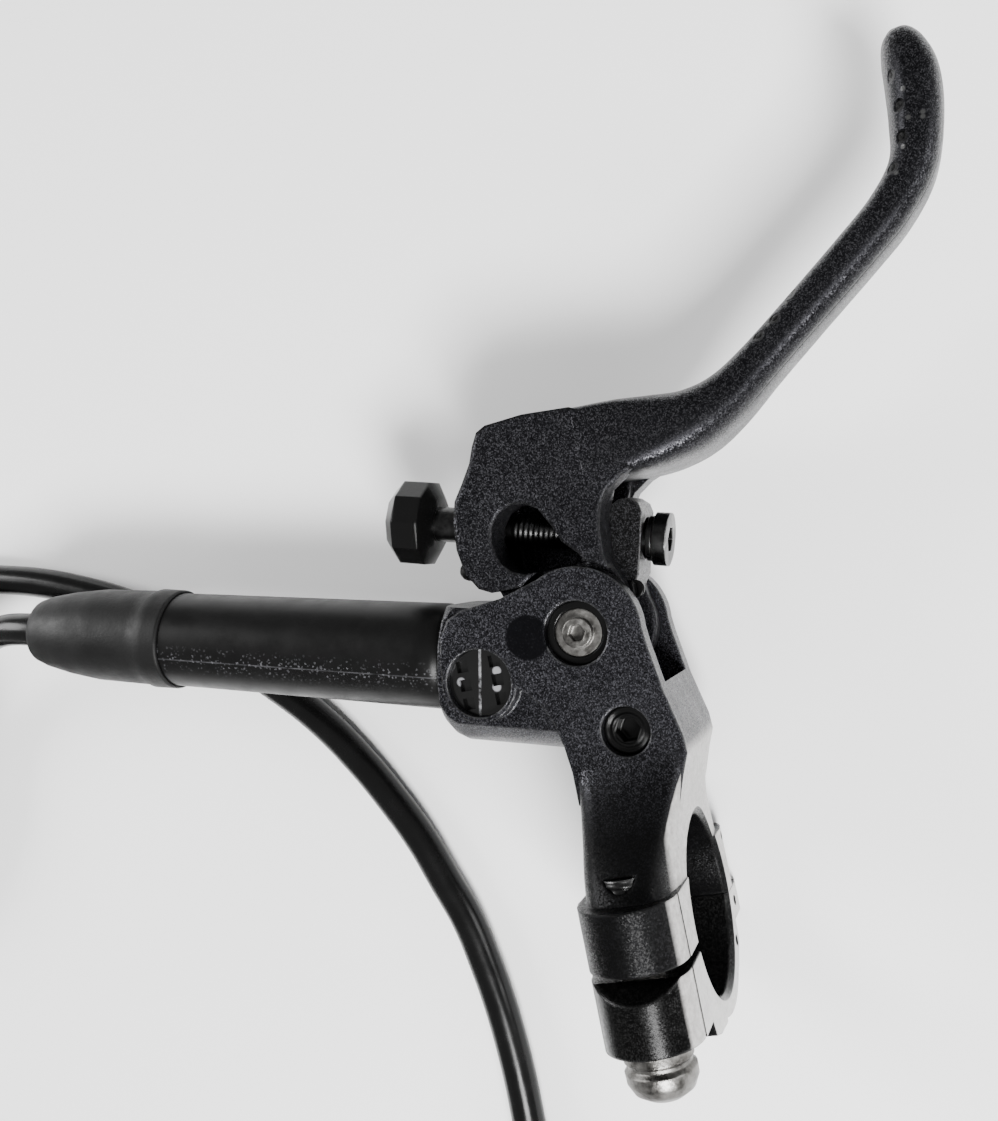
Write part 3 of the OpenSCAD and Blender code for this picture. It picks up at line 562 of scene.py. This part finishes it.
skin_paint, tree, shader, colour = flaked("skin_paint", (0.004, 0.004, 0.005),
                                          (0.055, 0.055, 0.060), 0.34, 7500.0, 0.24,
                                          (0.02, 0.02, 0.02), 0.0003)
place = tree.nodes.new("ShaderNodeTexCoord")
masks = []
for radius, spots in (
        (0.55, ((46.6, 92.5, 4.2), (46.8, 88.7, 5.0), (46.4, 85.1, 5.2), (44.7, 82.0, 5.0),
                (30.9, 71.0, 4.6), (28.6, 68.7, 5.4), (26.4, 67.1, 5.5))),
        (0.24, ((47.6, 90.3, 5.3), (47.5, 86.9, 5.5), (46.3, 83.9, 5.4), (45.0, 81.2, 5.4),
                (30.2, 70.1, 5.2), (27.7, 68.1, 5.4), (49.1, 87.0, 5.5), (49.0, 86.5, 5.5)))):
    mask = None
    for spot in spots:
        away = add(tree, "ShaderNodeVectorMath", operation="DISTANCE",
                   i0=place.outputs["Object"], i1=tuple(value / 1000 for value in spot))
        inside = add(tree, "ShaderNodeMapRange", Value=away.outputs["Value"])
        inside.inputs["From Min"].default_value = radius * 1.5 / 1000
        inside.inputs["From Max"].default_value = radius * 0.8 / 1000
        mask = inside.outputs["Result"] if mask is None else add(
            tree, "ShaderNodeMath", operation="MAXIMUM", i0=mask,
            i1=inside.outputs["Result"]).outputs["Value"]
    masks.append(mask)
turn_share = tree.nodes.new("ShaderNodeAttribute")
turn_share.attribute_name = "around"
row_share = tree.nodes.new("ShaderNodeAttribute")
row_share.attribute_name = "along"
on_blade = add(tree, "ShaderNodeMapRange", Value=row_share.outputs["Fac"])
on_blade.inputs["From Min"].default_value = 0.30
on_blade.inputs["From Max"].default_value = 0.40
lines = []
for middle in (0.572, 0.584):
    off = add(tree, "ShaderNodeMath", operation="SUBTRACT", i0=turn_share.outputs["Fac"],
              i1=middle)
    off = add(tree, "ShaderNodeMath", operation="ABSOLUTE", i0=off.outputs["Value"])
    thin = add(tree, "ShaderNodeMapRange", Value=off.outputs["Value"])
    thin.inputs["From Min"].default_value = 0.006
    thin.inputs["From Max"].default_value = 0.003
    lines.append(add(tree, "ShaderNodeMath", operation="MULTIPLY", i0=thin.outputs["Result"],
                     i1=on_blade.outputs["Result"]).outputs["Value"])
# Painted shade: the pits and the groove line are painted near black.
dents_and_painted_shade = add(tree, "ShaderNodeMath", operation="MAXIMUM", i0=masks[0], i1=lines[0])
colour = mixed(tree, dents_and_painted_shade.outputs["Value"], colour, (0.002, 0.002, 0.002))
# Painted highlights: pale dots on the pits' rims and a pale line beside the groove.
pale = add(tree, "ShaderNodeMath", operation="MAXIMUM", i0=masks[1],
           i1=add(tree, "ShaderNodeMath", operation="MULTIPLY", i0=lines[1], i1=0.6).outputs["Value"])
colour = mixed(tree, pale.outputs["Value"], colour, (0.06, 0.06, 0.06))
sunk = add(tree, "ShaderNodeMath", operation="SUBTRACT", i0=1.0, i1=dents_and_painted_shade.outputs["Value"])
pressed = add(tree, "ShaderNodeBump", Height=sunk.outputs["Value"], Strength=0.8,
              Distance=0.0004, Normal=shader.inputs["Normal"].links[0].from_socket)
link(tree, shader, Base_Color=colour, Normal=pressed.outputs["Normal"])

stations = np.array([
    [3, 59.2, 0, 9.4, 9.54, 0.16, 0.12], [8, 59.1, 1, 9.3, 9.54, 0.26, 0.2],
    [12.5, 59, 4, 8.9, 9.14, 0.44, 0.38], [16.8, 59.5, 14, 7.8, 8.24, 0.62, 0.54],
    [21, 61.3, 28, 6.4, 7.1, 0.7, 0.6], [25.4, 64.3, 36, 5.6, 6.2, 0.72, 0.62],
    [31.9, 69.1, 37, 5.4, 5.7, 0.72, 0.62], [39, 74.4, 38, 5.4, 5.5, 0.72, 0.62],
    [43.7, 78.2, 45, 5.4, 5.5, 0.72, 0.62], [47.1, 82.5, 60, 5.5, 5.5, 0.72, 0.62],
    [48.6, 88, 79, 6.1, 5.5, 0.74, 0.66], [49.05, 92.6, 93, 6.2, 5.3, 0.78, 0.72],
    [48.75, 95.8, 101, 5.3, 4.6, 0.84, 0.8], [48.3, 97.8, 106, 3.7, 3.4, 0.9, 0.9],
    [48, 98.6, 106, 1.6, 1.6, 1, 1]])
rings = []
last = len(stations) - 1
for k in range(last):
    a, b, c, d = (stations[min(max(k + j, 0), last)] for j in (-1, 0, 1, 2))
    for t in np.arange(24) / 24:
        rings.append(0.5 * (2 * b + (c - a) * t + (2 * a - 5 * b + 4 * c - d) * t * t
                            + (3 * b - a - 3 * c + d) * t ** 3))
rings.append(stations[last])
turn_by = -2 * np.pi * np.arange(96) / 96
loft = []
for x, y, lean, width, height, round_u, round_v in rings:
    grow = -0.03 + 0.09 * min(max((x - 3) / 11, 0), 1)
    u = np.sign(np.cos(turn_by)) * np.abs(np.cos(turn_by)) ** round_u * (width / 2 + grow)
    v = np.sign(np.sin(turn_by)) * np.abs(np.sin(turn_by)) ** round_v * (height + grow)
    lean = math.radians(lean)
    loft.append(np.stack([x - u * math.sin(lean), y + u * math.cos(lean), v], axis=1))
loft[-1] = loft[-1] + [0.06 * math.cos(math.radians(106)), 0.06 * math.sin(math.radians(106)), 0]
grid_piece("blade_skin", loft, skin_paint, "blade")

# Screw threads
# Rolled threads on the reach screw and on the ends of the two clamp bolts.


def thread(name, start, axis, length, root, crest, pitch, material, body):
    """Round bar whose radius goes from root to crest and back once in each pitch, with the
    ridge turned once around the bar in the same distance."""
    axis = np.array(axis, float) / np.linalg.norm(axis)
    side = np.cross(axis, [0.3, 0.1, 0.9])
    side /= np.linalg.norm(side)
    other = np.cross(axis, side)
    angles = 2 * np.pi * np.arange(40) / 40
    rings = []
    for h in np.arange(0, length + 1e-6, pitch / 8):
        phase = (h / pitch + angles / (2 * np.pi)) % 1
        fade = min(h, length - h, pitch) / pitch
        radius = (root + (crest - root) * fade * (1 - np.abs(2 * phase - 1)))[:, None]
        rings.append(np.array(start) + axis * h
                     + radius * (np.cos(angles)[:, None] * side + np.sin(angles)[:, None] * other))
    return grid_piece(name, rings, material, body)


lean = math.radians(15.6)
run = np.array([math.cos(lean), -math.sin(lean), 0])
middle = np.array([8.4, 46.3, 0])
thread("reach_screw_thread", middle - 18.85 * run, run, 11.65, 2.01, 2.18, 0.7, dark_steel, "knob")
thread("near_bolt_thread", (0, 2.6, 16.5), (0, 1, 0), 6.1, 2.51, 2.66, 0.8, dark_steel, "base")
thread("far_bolt_thread", (0, 6.9, -16.5), (0, 1, 0), 6.1, 2.51, 2.66, 0.8, dark_steel, "base")

# Bleed screw ring
# A turned groove around the socket of one bleed screw's face, on the near side.

ring_profile = np.array([(1.72, 8.05), (1.72, 8.3), (1.95, 8.36), (2.1, 8.2), (2.45, 8.2),
                         (2.6, 8.34), (2.9, 8.28), (2.95, 8.05)])
turn_by = 2 * np.pi * np.arange(72) / 72
ring_points = np.stack([1.9 + np.outer(ring_profile[:, 0], np.cos(turn_by)),
                        24 + np.outer(ring_profile[:, 0], np.sin(turn_by)),
                        np.outer(ring_profile[:, 1], np.ones(72))], axis=2).reshape(-1, 3)
count = len(ring_profile)
ring_faces = [[k * 72 + i, k * 72 + (i + 1) % 72, (k + 1) % count * 72 + (i + 1) % 72,
               (k + 1) % count * 72 + i] for k in range(count) for i in range(72)]
ring_mesh = bpy.data.meshes.new("bleed_ring")
ring_mesh.from_pydata((ring_points / 1000).tolist(), [], ring_faces)
tuned = bmesh.new()
tuned.from_mesh(ring_mesh)
bmesh.ops.recalc_face_normals(tuned, faces=tuned.faces)
tuned.to_mesh(ring_mesh)
tuned.free()
ring_mesh.materials.append(moulding)
bleed_ring = bpy.data.objects.new("bleed_ring", ring_mesh)
scene.collection.objects.link(bleed_ring)
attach(bleed_ring, "base")

# Return spring
# Wound steel wire behind the piston. In the lever it shortens towards the hose as the lever
# is pulled, by the four and seven tenths of a millimetre that the piston moves; here it is one
# fixed, smoothly shaded copy of the part that stays with the base.

spring_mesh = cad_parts["return_spring"].data.copy()
tuned = bmesh.new()
tuned.from_mesh(spring_mesh)
bmesh.ops.remove_doubles(tuned, verts=tuned.verts, dist=0.000001)
tuned.to_mesh(spring_mesh)
tuned.free()
spring_mesh.polygons.foreach_set("use_smooth", [True] * len(spring_mesh.polygons))
spring = bpy.data.objects.new("spring_wire", spring_mesh)
scene.collection.objects.link(spring)
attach(spring, "base")
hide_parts("return_spring")
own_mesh(spring)

# Smooth shading
# Curved faces of the solids are shaded smoothly, with their sharp edges kept.

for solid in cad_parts.values():
    if solid.data.materials and len(solid.data.polygons):
        solid.modifiers.new("weld", "WELD").merge_threshold = 0.000001
        split = solid.modifiers.new("split", "EDGE_SPLIT")
        split.split_angle = math.radians(32)
        solid.data.polygons.foreach_set("use_smooth", [True] * len(solid.data.polygons))
